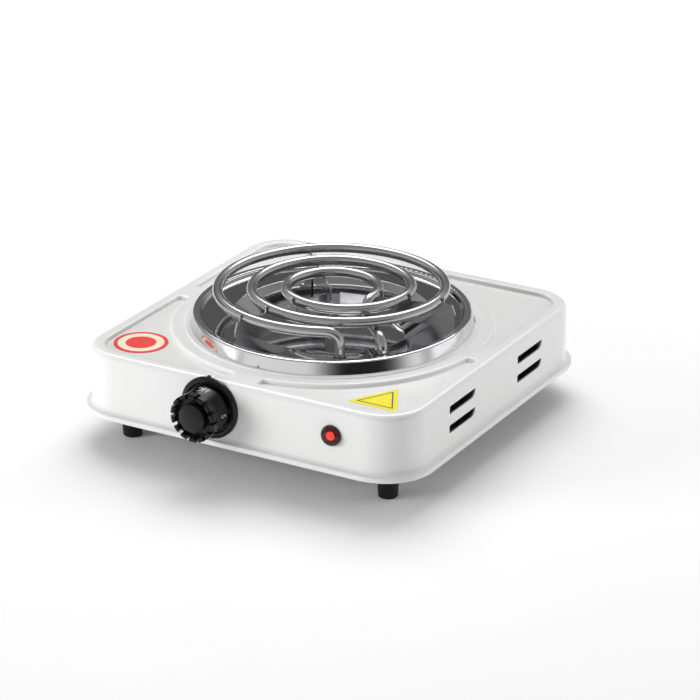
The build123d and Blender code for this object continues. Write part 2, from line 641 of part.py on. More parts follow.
with BuildPart() as knob:
    with BuildSketch(turned(KNOB_X, CONTROL_Z)) as knob_profile:
        with BuildLine():
            Polyline(
                (0, CAP_BACK),
                (CAP_R, CAP_BACK),
                (CAP_R, GROOVE_FLOOR),
                (BLOCK_IN_R, GROOVE_FLOOR),
                (BLOCK_IN_R, GRIP_FRONT - 0.7),
                (BLOCK_IN_R + 0.7, GRIP_FRONT),
                (BLOCK_R - 0.9, GRIP_FRONT),
                (BLOCK_R, GRIP_FRONT - 0.9),
                (BLOCK_R - 0.3, SKIRT_FRONT + 1.6),
                (NECK_R, SKIRT_FRONT - 0.4),
                (SKIRT_R - 0.4, SKIRT_BACK + 0.9),
                (SKIRT_R, SKIRT_BACK + 0.6),
                (SKIRT_R, SKIRT_BACK),
                (SKIRT_R - 1.3, SKIRT_BACK),
                (NECK_R - 1.8, SKIRT_FRONT - 1),
                (5.2, SKIRT_FRONT - 1),
                (5.2, SKIRT_BACK),
                (SHAFT_R, SKIRT_BACK),
                (SHAFT_R, SKIRT_FRONT + 1.5),
                (0, SKIRT_FRONT + 1.5),
                close=True,
            )
        make_face()
    revolve(axis=KNOB_AXIS)
    # gaps between the blocks of the grip
    with BuildSketch(facing(GRIP_FRONT, KNOB_X, CONTROL_Z)):
        with PolarLocations((BLOCK_IN_R + BLOCK_R) / 2, BLOCKS, start_angle=90 + 180 / BLOCKS):
            Rectangle(BLOCK_R - BLOCK_IN_R + 0.6, BLOCK_GAP)
    extrude(amount=GROOVE_FLOOR - GRIP_FRONT, mode=Mode.SUBTRACT)
    # fin from the grip to the back of the skirt
    fin_plane = Plane(
        origin=(KNOB_X, BURNER_Y, CONTROL_Z),
        x_dir=(cos(radians(FIN_ANGLE)), 0, sin(radians(FIN_ANGLE))),
        z_dir=(sin(radians(FIN_ANGLE)), 0, -cos(radians(FIN_ANGLE))),
    )
    with BuildSketch(fin_plane) as fin:
        with BuildLine():
            Polyline(
                (NECK_R - 0.6, SKIRT_FRONT + 1.0),
                (NECK_R - 0.6, SKIRT_FRONT - 1.5),
                (SKIRT_R - 1.6, SKIRT_BACK + 1.4),
                (SKIRT_R + 0.3, SKIRT_BACK + 1.4),
                (BLOCK_R - 0.2, SKIRT_FRONT + 2.0),
                (NECK_R, SKIRT_FRONT + 2.0),
                close=True,
            )
        make_face()
    extrude(amount=0.7, both=True)
knob.part.label = "knob"
export_step(knob.part, "parts/knob.step")

with BuildPart() as knob_cap:
    with BuildSketch(turned(KNOB_X, CONTROL_Z)):
        with BuildLine():
            Polyline((0, CAP_FRONT), (0, CAP_BACK), (CAP_R - 0.1, CAP_BACK), (CAP_R - 0.1, GRIP_FRONT))
            ThreePointArc(*dome(CAP_R - 0.1, GRIP_FRONT, CAP_FRONT - GRIP_FRONT))
        make_face()
    revolve(axis=KNOB_AXIS)
knob_cap.part.label = "knob_cap"
export_step(knob_cap.part, "parts/knob_cap.step")

# ---- adjustable thermostat behind the front wall ----
WALL_IN = WALL_Y - SHEET                 # inner face of the front wall
FRAME_T = 1.4
BUSH_BACK = WALL_IN - 9
SPINDLE_BACK = BUSH_BACK - 3
PIN_BORE = 1.56
PIN_R = 1.5
PIN_FRONT = SPINDLE_BACK + 1.5
ARM_Y = WALL_IN - 20                     # front face of the moving arm
STRIP_T = 0.6
STRIP_W = 7.0
CONTACT_Y = ARM_Y + 4.6                  # back face of the fixed strip
STACK_X = KNOB_X + 14
STACK_R = 4.5
RIVET_HOLE_R = 1.5
BLADE_Y = ARM_Y - 5                      # front face of the bimetal blade
STACK_BACK = BLADE_Y - 4
STRIP_END_X = STACK_X + 14
CONTACT_X = KNOB_X - 9
ARM_PIVOT_X = KNOB_X + 7.6               # knuckle of the moving arm
KNUCKLE_Y = ARM_Y - STRIP_T / 2
KNUCKLE_R = 1.3
KNUCKLE_H = 6.0
KNUCKLE_PIN_R = 0.5
EAR_T = 1.0
ROOT_X = ARM_PIVOT_X + KNUCKLE_R + 0.3

with BuildPart() as thermostat_frame:
    with BuildSketch(facing(WALL_IN, KNOB_X, CONTROL_Z)):
        RectangleRounded(32, 22, 3)
        Circle(4.9, mode=Mode.SUBTRACT)
        with Locations((-FRAME_SCREW_X, 0), (FRAME_SCREW_X, 0)):
            Circle(ST3_R + 0.02, mode=Mode.SUBTRACT)
    extrude(amount=-FRAME_T)
    with BuildSketch(facing(WALL_Y + 0.6, KNOB_X, CONTROL_Z)):
        Circle(5.0)
        Circle(SHAFT_R + 0.05, mode=Mode.SUBTRACT)
    extrude(amount=BUSH_BACK - WALL_Y - 0.6)
    with BuildSketch(facing(WALL_IN - FRAME_T, STACK_X, CONTROL_Z)):
        Circle(STACK_R)
    extrude(amount=CONTACT_Y + STRIP_T - WALL_IN + FRAME_T)
    with BuildSketch(facing(WALL_IN, STACK_X, CONTROL_Z)):
        Circle(RIVET_HOLE_R)
    extrude(amount=-20, mode=Mode.SUBTRACT)
    with BuildSketch(facing(WALL_IN, KNOB_X + FRAME_SCREW_X, CONTROL_Z)):
        Circle(ST3_R + 0.02)
    extrude(amount=-7, mode=Mode.SUBTRACT)
thermostat_frame.part.label = "thermostat_frame"
export_step(thermostat_frame.part, "parts/thermostat_frame.step")

with BuildPart() as thermostat_screws:
    for side in (-FRAME_SCREW_X, FRAME_SCREW_X):
        with BuildSketch(facing(WALL_Y + 0.9, KNOB_X + side, CONTROL_Z)):
            Circle(2.7)
        extrude(amount=1.2)
        with BuildSketch(facing(WALL_Y + 0.9, KNOB_X + side, CONTROL_Z)):
            Circle(ST3_R)
        extrude(amount=-7)
    with BuildSketch(facing(WALL_Y + 2.1)):
        for side in (-FRAME_SCREW_X, FRAME_SCREW_X):
            with Locations((KNOB_X + side, CONTROL_Z)):
                Rectangle(3.6, 0.8)
                Rectangle(0.8, 3.6)
    extrude(amount=-0.7, mode=Mode.SUBTRACT)
thermostat_screws.part.label = "thermostat_screws"
export_step(thermostat_screws.part, "parts/thermostat_screws.step")

with BuildPart() as spindle:
    with BuildSketch(facing(SKIRT_FRONT + 1.5, KNOB_X, CONTROL_Z)):
        Circle(SHAFT_R)
    extrude(amount=SPINDLE_BACK - SKIRT_FRONT - 1.5)
    with BuildSketch(facing(BUSH_BACK - 0.4, KNOB_X, CONTROL_Z)):
        Circle(4.4)
    extrude(amount=-1.2)
    with BuildSketch(facing(SPINDLE_BACK, KNOB_X, CONTROL_Z)):
        Circle(PIN_BORE)
    extrude(amount=5, mode=Mode.SUBTRACT)
spindle.part.label = "spindle"
export_step(spindle.part, "parts/spindle.step")

with BuildPart() as push_pin:
    with BuildSketch(facing(PIN_FRONT, KNOB_X, CONTROL_Z)):
        Circle(PIN_R)
    extrude(amount=ARM_Y + 0.4 - PIN_FRONT)
    fillet(push_pin.edges().filter_by(GeomType.CIRCLE), 0.4)
push_pin.part.label = "push_pin"
export_step(push_pin.part, "parts/push_pin.step")

with BuildPart() as fixed_contact:
    with BuildSketch(facing(CONTACT_Y, 0, CONTROL_Z)):
        with Locations(((CONTACT_X - 3 + STRIP_END_X) / 2, 0)):
            Rectangle(STRIP_END_X - CONTACT_X + 3, STRIP_W)
        with Locations((KNOB_X, 0)):
            Circle(2.6, mode=Mode.SUBTRACT)
        with Locations((STACK_X, 0)):
            Circle(RIVET_HOLE_R, mode=Mode.SUBTRACT)
    extrude(amount=STRIP_T)
    with BuildSketch(facing(CONTACT_Y, CONTACT_X, CONTROL_Z)):
        Circle(2.0)
    extrude(amount=-0.8)
fixed_contact.part.label = "fixed_contact"
export_step(fixed_contact.part, "parts/fixed_contact.step")

with BuildPart() as contact_arm:
    with BuildSketch(facing(ARM_Y, 0, CONTROL_Z)):
        with Locations(((CONTACT_X - 3 + ARM_PIVOT_X) / 2, 0)):
            Rectangle(ARM_PIVOT_X - CONTACT_X + 3, KNUCKLE_H)
    extrude(amount=-STRIP_T)
    with BuildSketch(facing(ARM_Y, CONTACT_X, CONTROL_Z)):
        Circle(2.0)
    extrude(amount=0.8)
    with BuildSketch(level(CONTROL_Z - KNUCKLE_H / 2, ARM_PIVOT_X, -KNUCKLE_Y)):
        Circle(KNUCKLE_R)
    extrude(amount=KNUCKLE_H)
    with BuildSketch(level(CONTROL_Z - KNUCKLE_H / 2, ARM_PIVOT_X, -KNUCKLE_Y)):
        Circle(KNUCKLE_PIN_R + 0.05)
    extrude(amount=KNUCKLE_H, mode=Mode.SUBTRACT)
contact_arm.part.label = "contact_arm"
export_step(contact_arm.part, "parts/contact_arm.step")

with BuildPart() as bimetal_blade:
    # root of the moving arm, held in the stack, with its tab for a wire
    with BuildSketch(facing(ARM_Y, 0, CONTROL_Z)):
        with Locations(((ROOT_X + STRIP_END_X) / 2, 0)):
            Rectangle(STRIP_END_X - ROOT_X, STRIP_W)
        with Locations((ROOT_X + 0.5, 0)):
            Rectangle(1.0, KNUCKLE_H + 2 * EAR_T + 0.6)
        with Locations((STACK_X, 0)):
            Circle(RIVET_HOLE_R, mode=Mode.SUBTRACT)
    extrude(amount=-STRIP_T)
    # two ears and the pin of the knuckle
    for ear_z in (CONTROL_Z + KNUCKLE_H / 2 + 0.3, CONTROL_Z - KNUCKLE_H / 2 - 0.3 - EAR_T):
        with BuildSketch(level(ear_z, 0, -KNUCKLE_Y)):
            with Locations(((ARM_PIVOT_X + ROOT_X) / 2, 0)):
                Rectangle(ROOT_X - ARM_PIVOT_X + 2.0, 1.8)
        extrude(amount=EAR_T)
    with BuildSketch(level(CONTROL_Z - KNUCKLE_H / 2 - 1, ARM_PIVOT_X, -KNUCKLE_Y)):
        Circle(KNUCKLE_PIN_R)
    extrude(amount=KNUCKLE_H + 2)
    with BuildSketch(facing(BLADE_Y, 0, CONTROL_Z)):
        with Locations(((CONTACT_X + STACK_X + 4) / 2, 0)):
            Rectangle(STACK_X + 4 - CONTACT_X, 9)
        with Locations((STACK_X, 0)):
            Circle(RIVET_HOLE_R, mode=Mode.SUBTRACT)
    extrude(amount=-1.0)
bimetal_blade.part.label = "bimetal_blade"
export_step(bimetal_blade.part, "parts/bimetal_blade.step")

with BuildPart() as ceramic_spacers:
    gaps = [(CONTACT_Y, ARM_Y), (ARM_Y - STRIP_T, BLADE_Y), (BLADE_Y - 1, STACK_BACK)]
    for front, back in gaps:
        with BuildSketch(facing(front, STACK_X, CONTROL_Z)):
            Circle(STACK_R)
            Circle(RIVET_HOLE_R, mode=Mode.SUBTRACT)
        extrude(amount=back - front)
ceramic_spacers.part.label = "ceramic_spacers"
export_step(ceramic_spacers.part, "parts/ceramic_spacers.step")

with BuildPart() as stack_rivet:
    with BuildSketch(facing(STACK_BACK, STACK_X, CONTROL_Z)):
        Circle(3.0)
    extrude(amount=-1.0)
    with BuildSketch(facing(STACK_BACK, STACK_X, CONTROL_Z)):
        Circle(RIVET_HOLE_R - 0.02)
    extrude(amount=CONTACT_Y + 6 - STACK_BACK)
stack_rivet.part.label = "stack_rivet"
export_step(stack_rivet.part, "parts/stack_rivet.step")

# ---- pilot lamp ----
LENS_R = 6.4
LENS_FRONT = WALL_Y + 5.6
with BuildPart() as lamp_lens:
    with BuildSketch(turned(LAMP_X, CONTROL_Z)):
        with BuildLine():
            Polyline((0, LENS_FRONT), (0, WALL_Y), (LENS_R, WALL_Y), (LENS_R, WALL_Y + 1.2))
            ThreePointArc(*dome(LENS_R, WALL_Y + 1.2, LENS_FRONT - WALL_Y - 1.2))
        make_face()
    revolve(axis=y_axis(LAMP_X, CONTROL_Z))
lamp_lens.part.label = "lamp_lens"
export_step(lamp_lens.part, "parts/lamp_lens.step")

with BuildPart() as lamp_housing:
    with BuildSketch(facing(WALL_Y, LAMP_X, CONTROL_Z)):
        Circle(4.7)
        Circle(3.9, mode=Mode.SUBTRACT)
    extrude(amount=-24)
    with BuildSketch(facing(WALL_Y - 24, LAMP_X, CONTROL_Z)):
        Circle(4.7)
        with Locations((-1.8, 0), (1.8, 0)):
            Circle(0.6, mode=Mode.SUBTRACT)
    extrude(amount=-1.2)
lamp_housing.part.label = "lamp_housing"
export_step(lamp_housing.part, "parts/lamp_housing.step")

with BuildPart() as lamp_clip:
    with BuildSketch(facing(WALL_IN, LAMP_X, CONTROL_Z)):
        RegularPolygon(8.5, 6)
        Circle(4.75, mode=Mode.SUBTRACT)
    extrude(amount=-1.6)
lamp_clip.part.label = "lamp_clip"
export_step(lamp_clip.part, "parts/lamp_clip.step")

with BuildPart() as neon_bulb:
    with BuildSketch(facing(WALL_Y - 1, LAMP_X, CONTROL_Z)):
        Circle(3.0)
    extrude(amount=-14)
    fillet(neon_bulb.edges().filter_by(GeomType.CIRCLE), 1.2)
    for side in (-1.8, 1.8):
        with BuildSketch(facing(WALL_Y - 14.6, LAMP_X + side, CONTROL_Z)):
            Circle(0.4)
        extrude(amount=-16)
neon_bulb.part.label = "neon_bulb"
export_step(neon_bulb.part, "parts/neon_bulb.step")

# ---- cord inlet, terminal block and earth screw ----
GLAND_BORE_R = 3.6
with BuildPart() as cord_gland:
    with BuildSketch(facing(-WALL_Y, GLAND_X, GLAND_Z)):
        Circle(9.5)
    extrude(amount=-2.4)
    with BuildSketch(facing(-WALL_Y - 2.4, GLAND_X, GLAND_Z)):
        Circle(GLAND_THREAD_R)
    extrude(amount=-3.0)
    fillet(cord_gland.edges().group_by(Axis.Y)[-1], 1.2)
    with BuildSketch(facing(-WALL_Y, GLAND_X, GLAND_Z)):
        Circle(GLAND_THREAD_R)
    extrude(amount=9)
    with BuildSketch(facing(-WALL_Y - 6, GLAND_X, GLAND_Z)):
        Circle(GLAND_BORE_R)
    extrude(amount=20, mode=Mode.SUBTRACT)
cord_gland.part.label = "cord_gland"
export_step(cord_gland.part, "parts/cord_gland.step")

with BuildPart() as gland_nut:
    with BuildSketch(facing(-WALL_IN, GLAND_X, GLAND_Z)):
        RegularPolygon(10.5, 6)
        Circle(GLAND_THREAD_R + 0.03, mode=Mode.SUBTRACT)
    extrude(amount=4.5)
gland_nut.part.label = "gland_nut"
export_step(gland_nut.part, "parts/gland_nut.step")

BLOCK = (56.0, 82.0)
BLOCK_W = 30.0
BLOCK_D = 16.0
BLOCK_H = 12.0
POLES = [BLOCK[0] - 9, BLOCK[0], BLOCK[0] + 9]
with BuildPart() as terminal_block:
    with BuildSketch(level(BASE_TOP_Z, *BLOCK)):
        RectangleRounded(BLOCK_W, BLOCK_D, 1.5)
    extrude(amount=BLOCK_H)
    for x in POLES:
        with BuildSketch(facing(-BLOCK[1] - BLOCK_D, x, BASE_TOP_Z + 5)):
            Circle(2.0)
        extrude(amount=BLOCK_D * 2, mode=Mode.SUBTRACT)
        with BuildSketch(level(BASE_TOP_Z + BLOCK_H, x, BLOCK[1])):
            Circle(2.2)
        extrude(amount=-4, mode=Mode.SUBTRACT)
terminal_block.part.label = "terminal_block"
export_step(terminal_block.part, "parts/terminal_block.step")

with BuildPart() as terminal_screws:
    for x in POLES:
        with BuildSketch(level(BASE_TOP_Z + 8, x, BLOCK[1])):
            Circle(2.1)
        extrude(amount=3)
        with BuildSketch(level(BASE_TOP_Z + 11, x, BLOCK[1])):
            Rectangle(3.6, 0.8)
        extrude(amount=-0.9, mode=Mode.SUBTRACT)
terminal_screws.part.label = "terminal_screws"
export_step(terminal_screws.part, "parts/terminal_screws.step")

with BuildPart() as earth_screw:
    with BuildSketch(level(FOOT_TOP_Z - 2, *EARTH)):
        Circle(3.8)
    extrude(amount=2)
    with BuildSketch(level(FOOT_TOP_Z, *EARTH)):
        Circle(M4_R)
    extrude(amount=9)
    with BuildSketch(level(BASE_TOP_Z, *EARTH)):
        RegularPolygon(4.0, 6)
    extrude(amount=3)
earth_screw.part.label = "earth_screw"
export_step(earth_screw.part, "parts/earth_screw.step")

# ---- internal wires: straight runs joined by tangent arcs ----
WIRE_R = 1.1
TAB_X = STRIP_END_X - 3
PIN_1 = LEGS[0]
PIN_2 = LEGS[1]
POLE_FRONT = BLOCK[1] - BLOCK_D / 2 + 4
POLE_Z = BASE_TOP_Z + 5
LAMP_BACK = WALL_Y - 30.6      # the wires meet the bulb's leads here
WIRES = {
    "wire_live": [
        (POLES[0], POLE_FRONT, POLE_Z),
        (POLES[0], 58, 27),
        (34, 20, 28),
        (26, -30, 30),
        (24, -70, 36),
        (TAB_X + 9, -(ARM_Y - STRIP_T / 2), CONTROL_Z),
        (TAB_X + 3.4, -(ARM_Y - STRIP_T / 2), CONTROL_Z),
    ],
    "wire_load": [
        (TAB_X + 3.4, -(CONTACT_Y + STRIP_T / 2), CONTROL_Z),
        (TAB_X + 8, -(CONTACT_Y + STRIP_T / 2), CONTROL_Z),
        (24, -98, 39),
        (36, -86, 30),
        (PIN_1[0], PIN_1[1], 25),
        (PIN_1[0], PIN_1[1], PIN_LOW_Z),
    ],
    "wire_neutral": [
        (POLES[1], POLE_FRONT, POLE_Z),
        (POLES[1], 50, 28),
        (58, 10, 27),
        (PIN_2[0], PIN_2[1], 25.5),
        (PIN_2[0], PIN_2[1], PIN_LOW_Z),
    ],
    "wire_earth": [
        (POLES[2], BLOCK[1] + BLOCK_D / 2 - 4, POLE_Z),
        (POLES[2], 96, POLE_Z - 0.4),
        (POLES[2] - 4, 101, 25),
        (38, 102, 24.5),
        (12, 88, 24),
        (EARTH[0] + 2, EARTH[1] + 4.6, 24),
    ],
    "wire_lamp_live": [
        (LAMP_X - 1.8, -LAMP_BACK, CONTROL_Z),
        (LAMP_X - 1.8, -LAMP_BACK + 6, CONTROL_Z),
        (54, -68, 36),
        (PIN_1[0] + 2.5, PIN_1[1] - 2, PIN_LOW_Z + 3),
    ],
    "wire_lamp_neutral": [
        (LAMP_X + 1.8, -LAMP_BACK, CONTROL_Z),
        (LAMP_X + 1.8, -LAMP_BACK + 8, CONTROL_Z),
        (66, -50, 38),
        (PIN_2[0] + 3, PIN_2[1] - 1.4, PIN_LOW_Z + 3),
    ],
}


def corner_radii(points):
    """Each corner's radius: 0.4 of its shorter run over the tangent of half its turn."""
    radii = []
    for before, corner, after in zip(points, points[1:], points[2:]):
        run_in = Vector(*corner) - Vector(*before)
        run_out = Vector(*after) - Vector(*corner)
        half_turn = radians(run_in.get_angle(run_out)) / 2
        radii.append(0.4 * min(run_in.length, run_out.length) * cos(half_turn) / sin(half_turn))
    return radii


for name, points in WIRES.items():
    with BuildLine(level(0)) as wire_path:
        FilletPolyline(*points, radius=corner_radii(points))
    route = wire_path.wires()[0]
    with BuildPart() as wire:
        with BuildSketch(Plane(origin=route @ 0, z_dir=route % 0)):
            Circle(WIRE_R)
        sweep(path=route)
    wire.part.label = name
    export_step(wire.part, "parts/" + name + ".step")
    print(name, "volume", round(wire.part.volume), "expected", round(pi * WIRE_R ** 2 * route.length))

# push-on terminals on the pins of the element and on the two strips of the thermostat
with BuildPart() as push_on_terminals:
    for x, y in LEGS:
        with BuildSketch(level(PIN_LOW_Z + 0.5, x, y)):
            Circle(2.2)
            Circle(1.32, mode=Mode.SUBTRACT)
        extrude(amount=6)
    for strip_back, height in ((CONTACT_Y, 8.4), (ARM_Y - STRIP_T, 8.4)):
        with BuildSketch(facing(strip_back - 0.5, TAB_X + 0.2, CONTROL_Z)):
            Rectangle(5.6, height)
        extrude(amount=STRIP_T + 1.0)
        with BuildSketch(facing(strip_back - 0.02, TAB_X + 0.2, CONTROL_Z)):
            Rectangle(6.0, 7.04)
        extrude(amount=STRIP_T + 0.04, mode=Mode.SUBTRACT)
push_on_terminals.part.label = "push_on_terminals"
export_step(push_on_terminals.part, "parts/push_on_terminals.step")

# ---- stickers in the front pockets ----
POCKET_Z = TOP_Z - POCKET_DEPTH
with BuildPart() as round_label:
    with BuildSketch(level(POCKET_Z, -85.4, -81.2)):
        Circle(16.4)
    extrude(amount=0.25)
round_label.part.label = "round_label"
export_step(round_label.part, "parts/round_label.step")

with BuildPart() as triangle_label:
    with BuildSketch(level(POCKET_Z)):
        with BuildLine():
            Polyline((65.5, -95.8), (98, -95.8), (82.5, -66.5), close=True)
        make_face()
    extrude(amount=0.25)
triangle_label.part.label = "triangle_label"
export_step(triangle_label.part, "parts/triangle_label.step")
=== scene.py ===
import json
import math

import bpy
from mathutils import Matrix, Vector


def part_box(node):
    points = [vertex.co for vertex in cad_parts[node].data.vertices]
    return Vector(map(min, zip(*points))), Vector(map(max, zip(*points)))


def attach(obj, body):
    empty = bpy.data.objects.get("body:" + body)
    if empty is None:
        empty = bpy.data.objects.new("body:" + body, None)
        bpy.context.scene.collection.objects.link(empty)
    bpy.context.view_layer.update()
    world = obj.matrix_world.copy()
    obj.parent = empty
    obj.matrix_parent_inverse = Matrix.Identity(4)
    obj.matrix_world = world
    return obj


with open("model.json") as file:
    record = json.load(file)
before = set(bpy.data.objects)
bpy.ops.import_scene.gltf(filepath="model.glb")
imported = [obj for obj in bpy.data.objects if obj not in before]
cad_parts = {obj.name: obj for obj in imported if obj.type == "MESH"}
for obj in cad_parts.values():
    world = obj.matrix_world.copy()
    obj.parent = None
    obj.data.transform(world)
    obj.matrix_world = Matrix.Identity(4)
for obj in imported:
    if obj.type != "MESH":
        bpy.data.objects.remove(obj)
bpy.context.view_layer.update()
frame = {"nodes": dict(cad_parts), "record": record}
nodes = frame["nodes"]


# ---------------------------------------------------------------- materials
class Nodes:
    """Small helper round a material's node tree."""

    def __init__(self, name):
        self.material = bpy.data.materials.new(name)
        self.material.use_nodes = True
        self.tree = self.material.node_tree
        self.shader = self.tree.nodes["Principled BSDF"]
        self.coords = self.tree.nodes.new("ShaderNodeTexCoord").outputs["Object"]

    def new(self, kind, **settings):
        node = self.tree.nodes.new(kind)
        for key, value in settings.items():
            setattr(node, key, value)
        return node

    def link(self, source, target):
        self.tree.links.new(source, target)

    def noise(self, scale, detail=3.0, roughness=0.55):
        node = self.new("ShaderNodeTexNoise")
        node.inputs["Scale"].default_value = scale
        node.inputs["Detail"].default_value = detail
        node.inputs["Roughness"].default_value = roughness
        self.link(self.coords, node.inputs["Vector"])
        return node.outputs["Fac"]

    def spread(self, source, low, high, from_low=0.3, from_high=0.7):
        """source, mapped from its usual band to low..high."""
        node = self.new("ShaderNodeMapRange")
        node.inputs["From Min"].default_value = from_low
        node.inputs["From Max"].default_value = from_high
        node.inputs["To Min"].default_value = low
        node.inputs["To Max"].default_value = high
        self.link(source, node.inputs["Value"])
        return node.outputs["Result"]

    def mix(self, factor, one, two):
        """Colour mix; one and two are colours or sockets."""
        node = self.new("ShaderNodeMix", data_type="RGBA")
        self.link(factor, node.inputs[0])
        for socket, value in ((node.inputs[6], one), (node.inputs[7], two)):
            if isinstance(value, bpy.types.NodeSocket):
                self.link(value, socket)
            else:
                socket.default_value = (*value, 1.0)
        return node.outputs[2]

    def bump(self, height, distance, normal=None):
        node = self.new("ShaderNodeBump")
        node.inputs["Distance"].default_value = distance
        node.inputs["Strength"].default_value = 1.0
        self.link(height, node.inputs["Height"])
        if normal is not None:
            self.link(normal, node.inputs["Normal"])
        self.link(node.outputs["Normal"], self.shader.inputs["Normal"])
        return node.outputs["Normal"]


def finish_of(
    name,
    colour,
    other=None,
    metallic=0.0,
    rough=(0.3, 0.4),
    patch=60.0,
    grain=900.0,
    grain_depth=0.00001,
    wave=None,
    coat=0.0,
    coat_rough=0.1,
):
    """A finish whose colour drifts over patches, with uneven gloss and a fine grain."""
    n = Nodes(name)
    patches = n.noise(patch, 4.0, 0.6)
    other = other or tuple(c * 0.92 for c in colour)
    n.link(n.mix(n.spread(patches, 0.0, 1.0), colour, other), n.shader.inputs["Base Color"])
    fine = n.noise(patch * 5.0, 5.0, 0.6)
    n.link(n.spread(fine, rough[0], rough[1]), n.shader.inputs["Roughness"])
    n.shader.inputs["Metallic"].default_value = metallic
    n.shader.inputs["Coat Weight"].default_value = coat
    n.shader.inputs["Coat Roughness"].default_value = coat_rough
    normal = n.bump(n.noise(grain, 2.0, 0.5), grain_depth)
    if wave:
        n.bump(n.noise(wave[0], 1.0, 0.4), wave[1], normal=normal)
    return n


MATERIALS = {
    "body_paint": finish_of("white_enamel", (0.80, 0.80, 0.797), (0.785, 0.785, 0.78),
                            rough=(0.20, 0.26), patch=14.0,
                            grain=420.0, grain_depth=0.0000015, wave=(40.0, 0.000006),
                            coat=0.3, coat_rough=0.06),
    "base_steel": finish_of("galvanised_sheet", (0.52, 0.52, 0.53), (0.42, 0.42, 0.43), metallic=1.0,
                            rough=(0.35, 0.55), patch=90.0, grain=1400.0),
    "ring_chrome": finish_of("ring_chrome", (0.76, 0.76, 0.77), (0.73, 0.73, 0.74), metallic=1.0,
                             rough=(0.08, 0.10),
                             patch=30.0, grain=1200.0, grain_depth=0.0000004, wave=(50.0, 0.000004)),
    "pan_steel": finish_of("pan_steel", (0.48, 0.48, 0.49), (0.44, 0.44, 0.45), metallic=1.0,
                           rough=(0.04, 0.08),
                           patch=25.0, grain=1200.0, grain_depth=0.0000005, wave=(40.0, 0.00001)),
    "element_steel": finish_of("element_steel", (0.50, 0.50, 0.505), (0.48, 0.477, 0.473), metallic=1.0,
                               rough=(0.19, 0.22), patch=60.0, grain=1800.0, grain_depth=0.000001),
    "support_steel": finish_of("support_steel", (0.52, 0.52, 0.53), (0.46, 0.46, 0.47), metallic=1.0,
                               rough=(0.16, 0.24), patch=100.0, grain=2000.0, grain_depth=0.000002),
    "zinc_screw": finish_of("zinc_screw", (0.62, 0.62, 0.64), (0.5, 0.5, 0.52), metallic=1.0,
                            rough=(0.18, 0.32), patch=300.0, grain=3000.0, grain_depth=0.000003),
    "dial_black": finish_of("dial_black", (0.005, 0.005, 0.005), (0.007, 0.007, 0.007),
                            rough=(0.24, 0.32), patch=120.0, grain=3500.0, grain_depth=0.000004),
    "cap_black": finish_of("cap_black", (0.012, 0.012, 0.012), (0.009, 0.009, 0.009), rough=(0.40, 0.48),
                           patch=200.0, grain=4500.0, grain_depth=0.00001),
    "foot_black": finish_of("foot_black", (0.004, 0.004, 0.004), (0.006, 0.006, 0.006),
                            rough=(0.42, 0.55), patch=150.0, grain=3000.0, grain_depth=0.00002),
    "lamp_amber": finish_of("lamp_amber", (0.16, 0.035, 0.03), (0.13, 0.03, 0.025), rough=(0.05, 0.08),
                            patch=250.0, grain=2500.0, grain_depth=0.000001),
    "lamp_white": finish_of("lamp_white", (0.8, 0.79, 0.75), rough=(0.4, 0.5)),
    "contact_brass": finish_of("contact_brass", (0.72, 0.52, 0.24), (0.6, 0.42, 0.2), metallic=1.0,
                               rough=(0.22, 0.38), patch=300.0, grain=2500.0),
    "ceramic": finish_of("ceramic", (0.82, 0.8, 0.74), (0.76, 0.73, 0.66),
                         rough=(0.25, 0.4), patch=200.0),
    "steel_part": finish_of("steel_part", (0.5, 0.5, 0.51), (0.4, 0.4, 0.41), metallic=1.0,
                            rough=(0.28, 0.42), patch=200.0, grain=2500.0),
    "block_white": finish_of("block_white", (0.78, 0.78, 0.75), rough=(0.45, 0.6), patch=200.0),
    "gland_black": finish_of("gland_black", (0.02, 0.02, 0.02), (0.03, 0.03, 0.03),
                             rough=(0.45, 0.6), patch=200.0, grain=3000.0, grain_depth=0.00002),
    "bulb_glass": finish_of("bulb_glass", (0.9, 0.8, 0.75), rough=(0.05, 0.1)),
    "wire_brown": finish_of("wire_brown", (0.16, 0.06, 0.03), (0.2, 0.08, 0.04),
                            rough=(0.45, 0.6), patch=200.0),
    "wire_blue": finish_of("wire_blue", (0.03, 0.09, 0.32), (0.04, 0.12, 0.38),
                           rough=(0.45, 0.6), patch=200.0),
    "wire_green_yellow": finish_of("wire_green_yellow", (0.12, 0.4, 0.05), (0.7, 0.62, 0.05),
                                   rough=(0.45, 0.6), patch=150.0),
    "label_red": finish_of("label_red", (0.75, 0.02, 0.012), (0.70, 0.02, 0.012),
                           rough=(0.45, 0.55), patch=200.0),
    "label_yellow": finish_of("label_yellow", (0.86, 0.76, 0.008), (0.82, 0.72, 0.008),
                              rough=(0.45, 0.55), patch=200.0),
    "mark_white": finish_of("mark_white", (0.75, 0.75, 0.74), (0.68, 0.68, 0.67),
                            rough=(0.45, 0.55), patch=300.0),
    "mark_dark": finish_of("mark_dark", (0.03, 0.028, 0.012), (0.045, 0.04, 0.015),
                           rough=(0.4, 0.5), patch=300.0),
    "lamp_glow": finish_of("lamp_glow", (0.9, 0.08, 0.05), (0.8, 0.06, 0.04),
                           rough=(0.3, 0.4), patch=300.0),
    # near-black red: painted shade for the inside of the lamp, round the neon
    "lamp_painted_shade": finish_of("lamp_painted_shade", (0.03, 0.008, 0.008), (0.02, 0.006, 0.006),
                           rough=(0.3, 0.4), patch=300.0),
}
